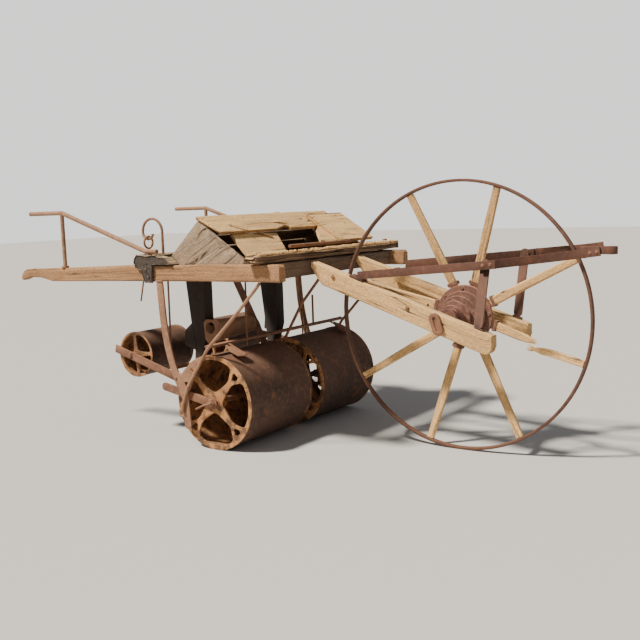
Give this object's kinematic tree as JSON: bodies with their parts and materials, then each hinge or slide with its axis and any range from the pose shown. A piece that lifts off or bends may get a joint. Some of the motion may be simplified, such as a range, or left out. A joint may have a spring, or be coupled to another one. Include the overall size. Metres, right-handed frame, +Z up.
{
  "type": "two-row ridge seed drill",
  "caption": "Old seed drill with a tall spoked wheel in a wooden fork, paired iron rollers, a gabled seed box, draught irons and two wooden handles.",
  "frame": {"origin": "on the ground, in the middle between the sides, half way between the handles' tips and the front of the hitch eye", "axes": "+X forward, towards the hitch eye; +Y to the left; +Z up"},
  "size_m": [3.2, 1.32, 1.3],
  "materials": {
    "bleached_wood": "dry sun-bleached timber",
    "grey_wood": "grey weathered boards",
    "dark_wood": "dark soiled timber",
    "rusty_iron": "even brown rust on wrought iron",
    "rusty_casting": "rough brown rust on castings"
  },
  "bodies": {
    "frame": {"handle_right": "bleached_wood", "handle_left": "bleached_wood", "cross_beam": "bleached_wood", "cross_sill": "dark_wood", "rear_plank": "grey_wood", "fork_beam_right": "bleached_wood", "fork_beam_left": "bleached_wood", "draught_bar_right": "rusty_iron", "draught_bar_left": "rusty_iron", "hitch_eye": "rusty_iron", "draught_strut_right": "rusty_iron", "draught_strut_left": "rusty_iron", "guide_rod_right": "rusty_iron", "guide_rod_left": "rusty_iron", "lift_hook_right": "rusty_iron", "lift_hook_left": "rusty_iron", "box_end_right": "grey_wood", "box_end_left": "grey_wood", "ridge_board": "bleached_wood", "front_panel_right": "bleached_wood", "front_panel_left": "bleached_wood", "back_roof_board": "grey_wood", "box_floor": "dark_wood", "box_rails": "dark_wood", "hatch_rod": "rusty_iron", "seed_spout_right": "rusty_iron", "seed_spout_left": "rusty_iron", "feed_drum": "rusty_iron", "leg_right": "rusty_iron", "leg_left": "rusty_iron", "brace_rod_right": "rusty_iron", "brace_rod_left": "rusty_iron", "centre_hanger": "rusty_iron", "front_axle": "rusty_iron", "cross_ties": "rusty_iron", "side_bar_right": "rusty_iron", "side_bar_left": "rusty_iron", "rear_axle": "rusty_iron", "lift_rods": "rusty_iron", "scrapers": "rusty_iron", "main_axle": "rusty_iron"},
    "big_wheel": {"wheel_rim": "rusty_iron", "wheel_spokes": "bleached_wood", "wheel_hub": "rusty_casting"},
    "front_roller_r": {"front_roller_right": "rusty_casting"},
    "front_roller_l": {"front_roller_left": "rusty_casting"},
    "rear_roller_r": {"rear_roller_right": "rusty_casting"},
    "rear_roller_l": {"rear_roller_left": "rusty_casting"}
  },
  "joints": [
    {"name": "big_wheel_turn", "type": "hinge", "parent": "frame", "child": "big_wheel", "pos_m": [0.85, 0, 0.65], "axis": [0, 1, 0], "continuous": true},
    {"name": "front_roller_right_turn", "type": "hinge", "parent": "frame", "child": "front_roller_r", "pos_m": [-0.225, -0.313, 0.24], "axis": [0, 1, 0], "continuous": true},
    {"name": "front_roller_left_turn", "type": "hinge", "parent": "frame", "child": "front_roller_l", "pos_m": [-0.225, 0.313, 0.24], "axis": [0, 1, 0], "continuous": true},
    {"name": "rear_roller_right_turn", "type": "hinge", "parent": "frame", "child": "rear_roller_r", "pos_m": [-0.85, -0.313, 0.43], "axis": [0, 1, 0], "continuous": true},
    {"name": "rear_roller_left_turn", "type": "hinge", "parent": "frame", "child": "rear_roller_l", "pos_m": [-0.85, 0.313, 0.43], "axis": [0, 1, 0], "continuous": true}
  ]
}
